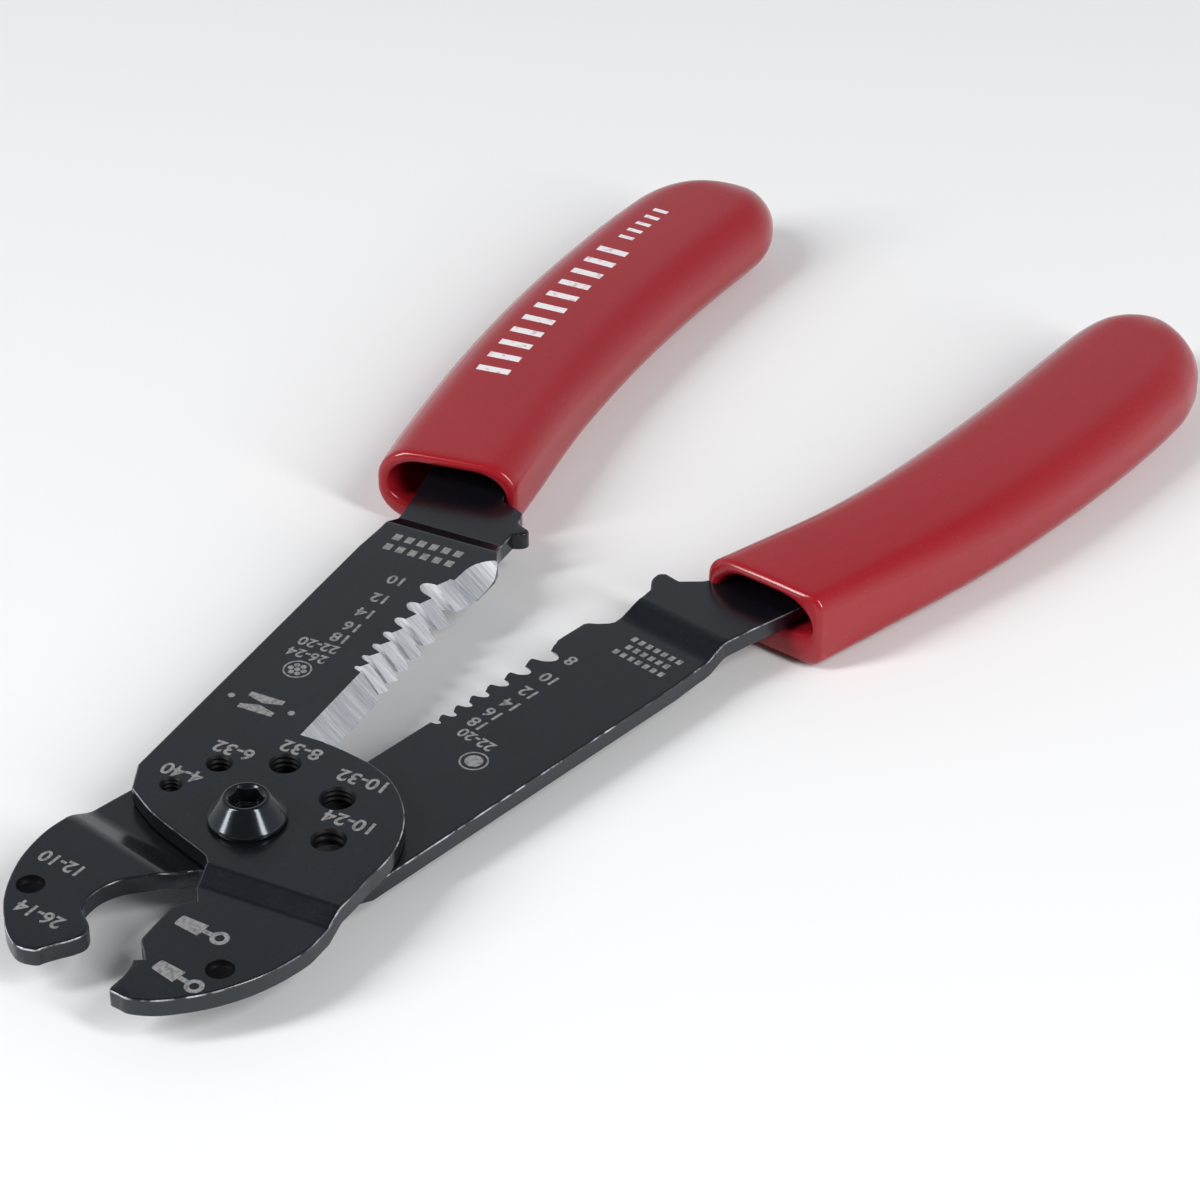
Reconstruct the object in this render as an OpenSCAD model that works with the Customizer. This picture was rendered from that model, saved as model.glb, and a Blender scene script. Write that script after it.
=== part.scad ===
// Multi-purpose wire stripper, screw cutter and crimper.
// Two stamped steel levers cross at one pivot screw. The upper lever carries the threaded
// screw-cutting holes. Both levers are joggled by half a plate, so the two jaws meet in one
// plane and the two tangs lie in one plane, while the cutting edges pass one over the other.
// The levers are drawn in the closed position and turned apart by half the opening angle each.

/* [Lever plates] */
// thickness of each stamped lever
plate_t = 2.6; // [2:0.1:3.5]
// clearance between the two sliding faces
slide_gap = 0.2; // [0.1:0.05:0.4]
// angle each lever is turned from the closed position
open_half = 7.75; // [0:0.25:15]
// half width of a lever's arm, from the pivot line to its outer edge
arm_w = 18.65; // [16:0.05:21]
// radius of the round boss edge around the pivot
boss_r = 18.8; // [16:0.1:21]
// where the jaw joggle starts, behind the pivot
jaw_bend_x = 10; // [9.5:0.1:12]
// length of a joggle along the lever
bend_len = 2.8; // [2:0.1:5]
// where the tang joggle starts
tang_bend_x = 68.2; // [66:0.1:71]
// length of the tang joggle
tang_bend_len = 3.3; // [2:0.1:5]

/* [Stripping edges] */
// slope run of the ground bevel across the plate
bevel_run = 3.65; // [2.5:0.05:4.5]
// land left below the bevel
edge_land = 0.15; // [0.05:0.05:0.4]
// sideways lean of the notches along the bevel
notch_lean = 19.8; // [0:0.1:30]
// slope of the notches from the flat
notch_slope = 34.2; // [30:0.1:45]
// upper lever's cutting line, offset from the pivot line
upper_edge_y = -0.55; // [-1:0.05:0]
// lower lever's cutting line, offset from the pivot line
lower_edge_y = 0.2; // [0:0.05:1]

/* [Pivot] */
// radius of the pivot screw's shank
shank_r = 3.2; // [2.5:0.05:4]
// running clearance of the upper lever on the shank
shank_clear = 0.05; // [0.02:0.01:0.1]
// radius of the screw head at its base
head_r = 5.15; // [4:0.05:6.5]
// radius of the screw head at its top
head_top_r = 2.95; // [2.6:0.05:4]
// height of the screw head
head_h = 3.5; // [2.5:0.1:5]
// socket size across flats
socket_af = 3.97; // [3:0.01:5]
// socket depth
socket_depth = 2.6; // [1.5:0.1:3]
// pivot nut size across flats
nut_af = 11.1; // [8:0.1:13]

/* [Screw cutting holes] */
// wall radius of the number four hole
hole4_r = 1.2; // [1.05:0.05:1.4]
// wall radius of the number six hole
hole6_r = 1.45; // [1.3:0.05:1.7]
// wall radius of the number eight hole
hole8_r = 1.8; // [1.6:0.05:2.05]
// wall radius of the fine number ten hole
hole10f_r = 2.08; // [1.9:0.01:2.35]
// wall radius of the coarse number ten hole
hole10c_r = 2.0; // [1.8:0.05:2.35]
// how much larger the lower lever's matching hole is
hole_over = 0.6; // [0.3:0.05:1]
// chamfer at the mouth of each threaded hole
hole_chamfer = 0.25; // [0.1:0.05:0.5]
// radius of the shallow round dimple on each jaw
dimple_r = 1.8; // [1:0.1:2.5]
// depth of the dimple
dimple_d = 0.9; // [0.2:0.1:1.5]

/* [Grips] */
// width of a grip
grip_w = 23.5; // [18:0.5:28]
// thickness of a grip
grip_t = 12; // [8:0.5:16]
// edge rounding of a grip
grip_r = 5; // [2:0.25:5.9]
// wall of the open mouth
mouth_wall = 1.5; // [1:0.1:2.5]
// depth of the open mouth
mouth_depth = 20; // [8:1:30]
// where the grip starts along the lever
grip_x = 82.5; // [81:0.5:90]

/* [Hidden] */
mid_z = grip_t/2;
g2 = slide_gap/2;
t = plate_t;
drop = g2 + t/2;
arc_x = 130;
arc_y = 20.25;
arc_r = 285;
grip_end_x = 171.5;
end_a = asin((grip_end_x - arc_x)/arc_r);
end_y = arc_y - arc_r*(1 - cos(end_a));
$fn = 64;

// smooth run of points through the given ones
function cr(p, i, u) = let(n = len(p), a = p[max(i-1, 0)], b = p[i], c = p[min(i+1, n-1)], d = p[min(i+2, n-1)])
    0.5*((2*b) + (c - a)*u + (2*a - 5*b + 4*c - d)*u*u + (3*b - a - 3*c + d)*u*u*u);
function smooth(p, k) = [for (i = [0:len(p)-2], j = [0:k-1]) cr(p, i, j/k), p[len(p)-1]];

// ---- outlines, closed position ----
// outer edge of a jaw, from the boss out to the tip, for a jaw above the pivot line
jaw_outer = smooth([[-3.5,18.5],[-8,18.7],[-13,18.85],[-17.7,18.6],[-22.5,17.15],[-26.3,15.05],[-30,12.1],
    [-33.3,7.9],[-34.8,4.6],[-34.7,2.9]], 3);
// the same edge on the upper lever, fuller beside the boss
upper_jaw_outer = smooth([[-3.2,19.62],[-5.6,19.6],[-8,19.55],[-11,19.35],[-14.5,19.2],[-17.7,18.95],[-22.5,17.3],[-26.3,15.2],
    [-30,12.2],[-33.4,8],[-34.8,4.6],[-34.7,2.9]], 3);
// crimping edge of the lower lever's jaw: front nest, lobe, rear nest, neck
lower_jaw_in = concat(smooth([[-34.7,2.9],[-33.9,1.5],[-32.9,1.12],[-31.35,0.48],[-29.7,-0.3],[-28.16,-0.7],[-27.1,-0.35],
    [-26.2,0.5],[-25.5,2.0]], 3), smooth([[-24.95,3.3],[-23.8,4.05],[-21.8,4.55],[-20,4.55],[-17.7,3.85],[-15.3,2.4],
    [-13.15,1.0],[-12,0.55]], 2), [[-10.2,0.35],[-8.9,-0.3]]);
// crimping edge of the upper lever's jaw
upper_jaw_in = [[-34.6,-2.2],[-34.4,-1.5],[-33.6,-1.35],[-31.5,-1.55],[-29.45,-1.3],[-28.5,-1.1],[-27.75,-2.2],[-26.63,-1.42],
    [-25.24,-0.1],[-24.5,0.25],[-24.0,0.3],[-18.4,0.28],[-17.6,0.18],[-16.8,-0.24],[-15.4,-1.95],[-13.2,-0.45],[-11.5,-0.3],
    [-9.7,0.0],[-8.7,0.8],[-8.3,1.5]];
// rear edge of the boss, for the upper lever
boss_rear = smooth([[-7.66,3.06],[-6.56,5.94],[-4.16,11.67],[-0.96,16.68]], 2);
// inner edge of the tang end, upper lever: shoulder, recess, stop nub
upper_tang_in = concat([[57.7,-0.55],[58.3,-0.95],[59.5,-1.15],[64.2,-1.25],[66,-0.8],[67.9,0.2],[69.4,1.0],[71.5,1.6],[75.0,1.6]],
    smooth([[75.3,0.9],[75.8,0.15],[76.6,-0.12],[77.1,0.12],[77.35,0.7],[77.6,1.35],[78.05,2.1],[78.8,2.45],[79.7,2.6]], 2),
    [[80.5,2.9],[81.4,4.2],[82.2,6.9]]);
lower_tang_in = concat([[57.7,0.2],[58.2,0.5],[58.7,0.55],[63.6,0.5],[64.3,0.15],[65,-0.9],[66,-1.9],[66.8,-2.35],[68,-2.35],
    [72.6,-2.4],[74.6,-2.1]], smooth([[75.6,-1.3],[76.6,-0.62],[77.6,-0.4],[78.4,-0.5],[78.9,-1.2]], 2),
    [[78.8,-3.7],[80.9,-6.0],[82.2,-6.9]]);
// tang inside the grip, for a lever above the pivot line
tang_in = [[95,12.5],[112,15.6],[130,16.6],[150,15.6],[164,13.6]];
tang_out = [[167,16.2],[165,20.2],[150,23.6],[130,24.6],[112,23.8],[96,22.2],[84,20.3],[80,19.6],[76.5,18.95],[71.5,18.3],
    [66,18.35],[61,arm_w]];

function flip(p) = [for (q = p) [q[0], -q[1]]];
function rev(p) = [for (i = [len(p)-1:-1:0]) p[i]];

// round boss edge as points, from angle a0 to angle a1
function arc(cx, cy, r, a0, a1, n) = [for (i = [0:n]) [cx + r*cos(a0 + (a1-a0)*i/n), cy + r*sin(a0 + (a1-a0)*i/n)]];

module upper_plan() polygon(concat(upper_jaw_in, boss_rear, [[3.54,arm_w]], rev(tang_out), rev(tang_in),
    rev(upper_tang_in), [[18.5,-0.6],[18.42,-1.8],[18.1,-3.8],[17.75,-5.6],[17.35,-7.4],[16.8,-9.2]],
    arc(0.2, -1.3, boss_r-0.2, -33, -96.5, 18), flip(upper_jaw_outer)));

module lower_plan() polygon(concat(lower_jaw_in, flip(boss_rear), [[3.54,-arm_w]], flip(rev(tang_out)), flip(rev(tang_in)),
    rev(lower_tang_in), arc(0, 0, boss_r-0.3, 0.6, 96, 24), jaw_outer));

// side profile of the upper lever, joggled down at both ends
module side_profile() {
    rotate([90,0,0]) linear_extrude(height = 120, center = true)
        polygon([[-60,-t/2],[-jaw_bend_x-bend_len,-t/2],[-jaw_bend_x,g2],[tang_bend_x,g2],[tang_bend_x+tang_bend_len,-t/2],
            [230,-t/2],[230,t/2],[tang_bend_x+tang_bend_len,t/2],[tang_bend_x,g2+t],[-jaw_bend_x,g2+t],
            [-jaw_bend_x-bend_len,t/2],[-60,t/2]]);
}

// notches: left tip, right tip, root position, root depth, root radius
notches = [[32.9,35.25,33.75,1.35,0.42],[35.25,38.05,36.4,1.7,0.55],[38.05,41.05,39.35,1.75,0.6],[41.05,44.45,42.5,1.85,0.7],
    [44.45,48.3,46.15,2.05,0.85],[48.3,52.6,50.15,2.35,1.05],[52.6,57.7,55.05,2.9,1.35]];
function st(dx, dy) = [dx*cos(notch_lean) - dy*sin(notch_lean), sin(notch_slope)*(dx*sin(notch_lean) + dy*cos(notch_lean))];

module notch_cut(n, y0) {
    r = n[4];
    a = st(0, n[3]);
    translate([n[2], y0, g2]) rotate([0,0,-notch_lean]) rotate([-(90-notch_slope),0,0])
        linear_extrude(height = 26, center = true) union() {
            translate([a[0], a[1]-r]) circle(r = r, $fn = 32);
            polygon([st(n[0]-n[2]+0.04, -1.6), st(n[0]-n[2]+0.04, 0), [a[0]-r*0.97, a[1]-r*0.8], [a[0], a[1]-r*0.5],
                [a[0]+r*0.95, a[1]-r*0.69], st(n[1]-n[2]-0.04, 0), st(n[1]-n[2]-0.04, -1.6)]);
        }
}

// ground bevel and notches, for an edge that is sharp at the sliding face
module edge_cuts(y0, sh_y) {
    k = (t - edge_land)/bevel_run;
    zb = g2 + edge_land;
    translate([18.4,0,0]) rotate([90,0,90]) linear_extrude(height = 40.8)
        polygon([[y0-2.2, zb-2.2*k], [y0+bevel_run+1.5, zb+(bevel_run+1.5)*k], [y0-2.2, zb+(bevel_run+1.5)*k]]);
    translate([58.4,sh_y,0]) rotate([0,0,-7]) rotate([90,0,90]) linear_extrude(height = 8)
        polygon([[-2.4, zb-2.4*k], [bevel_run+1.5, zb+(bevel_run+1.5)*k], [-2.4, zb+(bevel_run+1.5)*k]]);
    for (n = notches) notch_cut(n, y0);
}

// positions of the five screw-cutting holes in the rest pose
holes = [[0.1,12.6,hole4_r],[7.05,10.35,hole6_r],[11.8,3.3,hole8_r],[9.75,-6.8,hole10f_r],[2.3,-11.15,hole10c_r]];

module upper_lever() color([0.24,0.245,0.27]) translate([0,0,mid_z]) difference() {
    rotate([0,0,open_half]) difference() {
        intersection() {
            linear_extrude(height = 20, center = true) upper_plan();
            side_profile();
        }
        edge_cuts(upper_edge_y, -1.2);
        translate([-25.3,-11.4,t/2-dimple_d]) cylinder(r = dimple_r, h = 3, $fn = 48);
    }
    cylinder(r = shank_r + shank_clear, h = 20, center = true);
    for (h = holes) translate([h[0],h[1],0]) {
        cylinder(r = h[2], h = 20, center = true, $fn = 48);
        translate([0,0,g2+t-hole_chamfer]) cylinder(r1 = h[2], r2 = h[2]+hole_chamfer+0.02, h = hole_chamfer+0.02, $fn = 48);
    }
}

module lower_lever() color([0.24,0.245,0.27]) translate([0,0,mid_z]) difference() {
    rotate([0,0,-open_half]) difference() {
        intersection() {
            linear_extrude(height = 20, center = true) lower_plan();
            mirror([0,0,1]) side_profile();
        }
        rotate([180,0,0]) edge_cuts(-lower_edge_y, -0.5);
        translate([-25.9,11.7,t/2-dimple_d]) cylinder(r = dimple_r, h = 3, $fn = 48);
    }
    cylinder(r = shank_r, h = 20, center = true);
    for (h = holes) translate([h[0],h[1],0]) cylinder(r = h[2]+hole_over, h = 20, center = true, $fn = 48);
}

// rounded section of a grip, half or whole
function rr(w, h, r, k) = concat(
    [for (i = [0:k]) [w/2-r + r*cos(-90 + 90*i/k), -h/2+r + r*sin(-90 + 90*i/k)]],
    [for (i = [0:k]) [w/2-r + r*cos(90*i/k), h/2-r + r*sin(90*i/k)]]);
module section(w, h, r) polygon(concat(rr(w, h, r, 6), [for (q = rr(w, h, r, 6)) [-q[0], -q[1]]]));
module half_section(w, h, r) polygon(concat([[0,-h/2]], rr(w, h, r, 6), [[0,h/2]]));

// grip above the pivot line, mid plane at z = 0
module grip_body(w, h, r, x0, x1) {
    difference() {
        translate([arc_x, arc_y-arc_r, 0]) rotate([0,0,90-end_a]) rotate_extrude(angle = end_a+12, $fn = 720)
            translate([arc_r,0]) section(w, h, r);
        translate([x0-60,-40,-20]) cube([60,120,40]);
        if (x1 < arc_x) translate([x1,-40,-20]) cube([100,120,40]);
    }
    if (x1 > arc_x)
        translate([grip_end_x, end_y, 0]) rotate([0,0,-95-end_a]) rotate_extrude(angle = 190, $fn = 96)
            half_section(w-0.1, h-0.1, r-0.05);
}

module grip() difference() {
    grip_body(grip_w, grip_t, grip_r, grip_x, 200);
    grip_body(grip_w-2*mouth_wall, grip_t-2*mouth_wall, grip_r-mouth_wall, grip_x-1, grip_x+mouth_depth);
    linear_extrude(height = t, center = true) polygon(concat([[80,7.5]], tang_in, tang_out));
}

module upper_grip() color([0.62,0.06,0.09]) translate([0,0,mid_z]) rotate([0,0,open_half]) grip();
module lower_grip() color([0.62,0.06,0.09]) translate([0,0,mid_z]) rotate([0,0,-open_half]) mirror([0,1,0]) grip();

// cone-headed screw, its shank through both levers and flush with the nut
module pivot_screw() color([0.1,0.1,0.11]) {
    hz = mid_z + g2 + t + 0.1;
    difference() {
        union() {
            cylinder(r = shank_r, h = hz);
            translate([0,0,hz]) cylinder(r = head_r, h = 0.6);
            translate([0,0,hz+0.6]) cylinder(r1 = head_r, r2 = head_top_r, h = head_h-0.6);
        }
        translate([0,0,hz+head_h-socket_depth]) rotate([0,0,4]) cylinder(r = socket_af/sqrt(3), h = 5, $fn = 6);
    }
}

module pivot_nut() color([0.16,0.16,0.17]) difference() {
    intersection() {
        cylinder(r = nut_af/sqrt(3), h = mid_z-g2-t, $fn = 6);
        union() {
            cylinder(r1 = nut_af/2-0.1, r2 = nut_af/sqrt(3)+0.2, h = 0.8);
            translate([0,0,0.8]) cylinder(r = nut_af/sqrt(3)+0.2, h = mid_z);
        }
    }
    translate([0,0,-1]) cylinder(r = shank_r, h = 10);
}

lower_lever();
upper_lever();
lower_grip();
upper_grip();
pivot_screw();
pivot_nut();
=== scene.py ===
import math
import bpy
import bmesh
import numpy as np
from mathutils import Matrix, Vector
from mathutils.geometry import delaunay_2d_cdt


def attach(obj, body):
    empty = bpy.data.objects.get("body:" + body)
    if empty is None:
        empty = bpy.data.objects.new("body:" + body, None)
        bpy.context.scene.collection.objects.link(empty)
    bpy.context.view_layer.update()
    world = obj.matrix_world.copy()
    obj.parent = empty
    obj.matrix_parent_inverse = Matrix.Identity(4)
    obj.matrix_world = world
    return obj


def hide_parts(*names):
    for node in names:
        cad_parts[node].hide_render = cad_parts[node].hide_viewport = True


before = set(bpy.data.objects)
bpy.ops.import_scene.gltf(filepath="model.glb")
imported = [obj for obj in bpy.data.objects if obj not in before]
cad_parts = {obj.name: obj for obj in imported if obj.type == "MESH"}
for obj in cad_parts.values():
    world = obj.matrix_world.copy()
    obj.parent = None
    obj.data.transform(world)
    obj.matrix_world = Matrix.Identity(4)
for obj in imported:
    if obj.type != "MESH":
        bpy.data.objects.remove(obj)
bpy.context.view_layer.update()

scene = bpy.context.scene

# ------------------------------------------------------------------ sizes (mm)
T = 2.6                 # plate thickness
G2 = 0.1                # half of the sliding gap
DROP = G2 + T / 2
OPEN = math.radians(7.75)
MID = 6.0
BEVEL_RUN, LAND = 3.65, 0.15
LEAN, SLOPE = math.radians(19.8), math.radians(34.2)


# ------------------------------------------------------------------ materials
def material(name):
    m = bpy.data.materials.new(name)
    m.use_nodes = True
    nt = m.node_tree
    nt.nodes.clear()
    out = nt.nodes.new("ShaderNodeOutputMaterial")
    bsdf = nt.nodes.new("ShaderNodeBsdfPrincipled")
    nt.links.new(bsdf.outputs[0], out.inputs[0])
    return m, nt, bsdf


def node(nt, kind, **kw):
    n = nt.nodes.new(kind)
    for k, v in kw.items():
        if k.startswith("i_"):
            key = k[2:].replace("_", " ")
            n.inputs[key].default_value = v
        else:
            setattr(n, k, v)
    return n


def coords(nt, scale=(1, 1, 1), rot=0.0):
    tc = node(nt, "ShaderNodeTexCoord")
    mp = node(nt, "ShaderNodeMapping")
    mp.inputs["Rotation"].default_value = (0, 0, rot)
    mp.inputs["Scale"].default_value = scale
    nt.links.new(tc.outputs["Object"], mp.inputs["Vector"])
    return mp.outputs[0]


def noise(nt, vec, scale, detail=3.0, rough=0.5):
    n = node(nt, "ShaderNodeTexNoise")
    n.inputs["Scale"].default_value = scale
    n.inputs["Detail"].default_value = detail
    n.inputs["Roughness"].default_value = rough
    nt.links.new(vec, n.inputs["Vector"])
    return n.outputs[0]


def ramp(nt, fac, stops):
    r = node(nt, "ShaderNodeValToRGB")
    el = r.color_ramp.elements
    while len(el) < len(stops):
        el.new(0.5)
    for e, (p, c) in zip(el, stops):
        e.position = p
        e.color = (c, c, c, 1) if not hasattr(c, "__len__") else (*c, 1)
    nt.links.new(fac, r.inputs[0])
    return r.outputs[0]


def mix(nt, fac, a, b):
    m = node(nt, "ShaderNodeMix", data_type="RGBA")
    for sock, v in ((m.inputs[0], fac), (m.inputs[6], a), (m.inputs[7], b)):
        if hasattr(v, "is_linked"):
            nt.links.new(v, sock)
        elif hasattr(v, "__len__"):
            sock.default_value = (*v, 1)
        else:
            sock.default_value = v
    return m.outputs[2]


def mathn(nt, op, a, b=None, clamp=False):
    m = node(nt, "ShaderNodeMath", operation=op, use_clamp=clamp)
    for sock, v in ((m.inputs[0], a), (m.inputs[1], b)):
        if v is None:
            continue
        if hasattr(v, "is_linked"):
            nt.links.new(v, sock)
        else:
            sock.default_value = v
    return m.outputs[0]


def bump(nt, height, strength, distance, normal=None):
    b = node(nt, "ShaderNodeBump")
    b.inputs["Strength"].default_value = strength
    b.inputs["Distance"].default_value = distance
    nt.links.new(height, b.inputs["Height"])
    if normal is not None:
        nt.links.new(normal, b.inputs["Normal"])
    return b.outputs[0]


def edge_mask(nt, radius, lo, hi):
    """1 along outer edges, from how far the rounded normal leaves the true one."""
    bv = node(nt, "ShaderNodeBevel", samples=6)
    bv.inputs["Radius"].default_value = radius
    geo = node(nt, "ShaderNodeNewGeometry")
    dot = node(nt, "ShaderNodeVectorMath", operation="DOT_PRODUCT")
    nt.links.new(bv.outputs[0], dot.inputs[0])
    nt.links.new(geo.outputs["Normal"], dot.inputs[1])
    return ramp(nt, mathn(nt, "SUBTRACT", 1.0, dot.outputs["Value"]), [(lo, 0.0), (hi, 1.0)])


def rim_mask(nt):
    """1 on the rounded top edges of a plate, whose faces lean between flat and upright."""
    geo = node(nt, "ShaderNodeNewGeometry")
    sep = node(nt, "ShaderNodeSeparateXYZ")
    nt.links.new(geo.outputs["Normal"], sep.inputs[0])
    return ramp(nt, sep.outputs[2], [(0.12, 0.0), (0.34, 1.0), (0.66, 1.0), (0.80, 0.0)])


def black_steel(name, rot):
    m, nt, b = material(name)
    fine = coords(nt, (60, 900, 900), rot)
    wide = coords(nt, (1, 1, 1), rot)
    grain = noise(nt, fine, 6.0, 4.0, 0.6)
    blotch = noise(nt, wide, 95.0, 5.0, 0.6)
    specks = noise(nt, wide, 1900.0, 2.0, 0.5)
    worn = noise(nt, wide, 420.0, 4.0, 0.65)
    base = mix(nt, blotch, (0.0022, 0.0028, 0.0044), (0.0048, 0.0058, 0.0084))
    base = mix(nt, ramp(nt, specks, [(0.60, 0.0), (0.80, 0.5)]), base, (0.022, 0.024, 0.030))
    runs = noise(nt, wide, 62.0, 2.0, 0.5)
    # Bright bare-steel line on the rounded top edges: partly real edge wear, partly painted highlight standing in for
    # light catching those edges.
    edge = mathn(nt, "MULTIPLY", rim_mask(nt), ramp(nt, worn, [(0.42, 0.05), (0.60, 1.0)]))
    edge = mathn(nt, "MULTIPLY", edge, ramp(nt, runs, [(0.44, 0.10), (0.58, 1.0)]))
    base = mix(nt, edge, base, (0.52, 0.54, 0.60))
    nt.links.new(base, b.inputs["Base Color"])
    b.inputs["Metallic"].default_value = 0.0
    b.inputs["Specular IOR Level"].default_value = 0.64
    b.inputs["Specular Tint"].default_value = (0.86, 0.93, 1.0, 1.0)
    r = mathn(nt, "MULTIPLY_ADD", blotch, 0.12)
    r.node.inputs[2].default_value = 0.12
    r2 = mathn(nt, "MULTIPLY_ADD", grain, 0.06)
    nt.links.new(r, r2.node.inputs[2])
    nt.links.new(r2, b.inputs["Roughness"])
    nt.links.new(bump(nt, grain, 0.10, 0.00006, bump(nt, specks, 0.10, 0.00005)), b.inputs["Normal"])
    return m


def ground_steel(name, rot, slope):
    """Bright ground face, streaked across the edge."""
    m, nt, b = material(name)
    streak = coords(nt, (1500, 60, 60), rot)
    fine = noise(nt, streak, 3.0, 5.0, 0.6)
    wide = noise(nt, coords(nt, (260, 24, 24), rot), 1.4, 3.0, 0.5)
    stain = noise(nt, coords(nt, (1, 1, 1), rot), 320.0, 4.0, 0.6)
    base = mix(nt, ramp(nt, fine, [(0.34, 0.0), (0.66, 1.0)]), (0.37, 0.385, 0.41), (0.64, 0.65, 0.67))
    base = mix(nt, ramp(nt, wide, [(0.34, 0.35), (0.50, 0.0)]), base, (0.34, 0.35, 0.40))
    base = mix(nt, ramp(nt, stain, [(0.64, 0.0), (0.78, 0.75)]), base, (0.50, 0.44, 0.38))
    nt.links.new(base, b.inputs["Base Color"])
    b.inputs["Metallic"].default_value = 0.6
    r = mathn(nt, "MULTIPLY_ADD", fine, 0.20)
    r.node.inputs[2].default_value = 0.40
    nt.links.new(r, b.inputs["Roughness"])
    nt.links.new(bump(nt, fine, 0.20, 0.00008), b.inputs["Normal"])
    return m


def mark_grey(name):
    m, nt, b = material(name)
    v = coords(nt)
    worn = noise(nt, v, 1500.0, 4.0, 0.65)
    base = mix(nt, ramp(nt, worn, [(0.36, 0.0), (0.56, 1.0)]), (0.11, 0.11, 0.12), (0.25, 0.247, 0.243))
    nt.links.new(base, b.inputs["Base Color"])
    b.inputs["Metallic"].default_value = 0.0
    r = mathn(nt, "MULTIPLY_ADD", worn, 0.2)
    r.node.inputs[2].default_value = 0.5
    nt.links.new(r, b.inputs["Roughness"])
    return m


def print_white(name):
    m, nt, b = material(name)
    worn = noise(nt, coords(nt), 900.0, 4.0, 0.6)
    base = mix(nt, ramp(nt, worn, [(0.34, 0.0), (0.46, 1.0)]), (0.62, 0.40, 0.41), (0.80, 0.77, 0.78))
    nt.links.new(base, b.inputs["Base Color"])
    r = mathn(nt, "MULTIPLY_ADD", worn, 0.2)
    r.node.inputs[2].default_value = 0.35
    nt.links.new(r, b.inputs["Roughness"])
    return m


def red_vinyl(name):
    m, nt, b = material(name)
    v = coords(nt)
    cloud = noise(nt, v, 40.0, 3.0, 0.5)
    peel = noise(nt, v, 520.0, 3.0, 0.55)
    dust = noise(nt, v, 2600.0, 2.0, 0.5)
    smear = noise(nt, coords(nt, (30, 140, 140)), 1.0, 4.0, 0.6)
    base = mix(nt, cloud, (0.285, 0.0070, 0.0125), (0.330, 0.0100, 0.0180))
    base = mix(nt, ramp(nt, dust, [(0.62, 0.0), (0.80, 0.35)]), base, (0.46, 0.06, 0.07))
    nt.links.new(base, b.inputs["Base Color"])
    b.inputs["Specular IOR Level"].default_value = 0.5
    b.inputs["Subsurface Weight"].default_value = 0.06
    b.inputs["Subsurface Radius"].default_value = (0.002, 0.0004, 0.0003)
    b.inputs["Subsurface Scale"].default_value = 1.0
    r = mathn(nt, "MULTIPLY_ADD", smear, 0.12)
    r.node.inputs[2].default_value = 0.13
    nt.links.new(r, b.inputs["Roughness"])
    nt.links.new(bump(nt, peel, 0.10, 0.00016, bump(nt, dust, 0.05, 0.00004)), b.inputs["Normal"])
    return m


def tapped_steel(name):
    """Dull dark wall of a threaded hole."""
    m, nt, b = material(name)
    n1 = noise(nt, coords(nt), 900.0, 4.0, 0.6)
    nt.links.new(mix(nt, n1, (0.002, 0.002, 0.003), (0.005, 0.005, 0.006)), b.inputs["Base Color"])
    b.inputs["Specular IOR Level"].default_value = 0.16
    r = mathn(nt, "MULTIPLY_ADD", n1, 0.16)
    r.node.inputs[2].default_value = 0.42
    nt.links.new(r, b.inputs["Roughness"])
    return m


def screw_black(name):
    m, nt, b = material(name)
    v = coords(nt)
    n1 = noise(nt, v, 700.0, 4.0, 0.6)
    rings = node(nt, "ShaderNodeTexWave", wave_type="RINGS", rings_direction="Z")
    rings.inputs["Scale"].default_value = 900.0
    rings.inputs["Distortion"].default_value = 1.5
    nt.links.new(v, rings.inputs["Vector"])
    base = mix(nt, n1, (0.003, 0.0034, 0.0046), (0.008, 0.0088, 0.0115))
    # Painted highlight: the screw's edges are lightened to stand in for light catching them.
    edge = mathn(nt, "MULTIPLY", edge_mask(nt, 0.00022, 0.04, 0.25), 0.55)
    base = mix(nt, edge, base, (0.13, 0.14, 0.16))
    nt.links.new(base, b.inputs["Base Color"])
    b.inputs["Specular IOR Level"].default_value = 0.5
    b.inputs["Specular Tint"].default_value = (0.84, 0.93, 1.0, 1.0)
    r = mathn(nt, "MULTIPLY_ADD", n1, 0.10)
    r.node.inputs[2].default_value = 0.11
    nt.links.new(r, b.inputs["Roughness"])
    nt.links.new(bump(nt, rings.outputs["Fac"], 0.05, 0.00003), b.inputs["Normal"])
    return m


M_STEEL_U = black_steel("black_steel_upper", -OPEN)
M_STEEL_L = black_steel("black_steel_lower", OPEN)
M_GROUND_U = ground_steel("ground_edge_upper", -OPEN, 1)
M_GROUND_L = ground_steel("ground_edge_lower", OPEN, -1)
M_MARK = mark_grey("etched_marks")
M_PRINT = print_white("white_print")
M_RED = red_vinyl("red_vinyl")
M_SCREW = screw_black("screw_black")
M_TAP = tapped_steel("tapped_wall")


# ------------------------------------------------------------------ outlines (mm, closed position)
def smooth(p, k):
    p = [np.array(q, float) for q in p]
    n, out = len(p), []
    for i in range(n - 1):
        a, b, c, d = p[max(i - 1, 0)], p[i], p[i + 1], p[min(i + 2, n - 1)]
        for j in range(k):
            u = j / k
            out.append(0.5 * (2 * b + (c - a) * u + (2 * a - 5 * b + 4 * c - d) * u * u + (3 * b - a - 3 * c + d) * u ** 3))
    out.append(p[-1])
    return [tuple(q) for q in out]


def arc(cx, cy, r, a0, a1, n):
    return [(cx + r * math.cos(math.radians(a0 + (a1 - a0) * i / n)), cy + r * math.sin(math.radians(a0 + (a1 - a0) * i / n))) for i in range(n + 1)]


def flip(p):
    return [(x, -y) for x, y in p]


def rev(p):
    return list(reversed(p))


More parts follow.
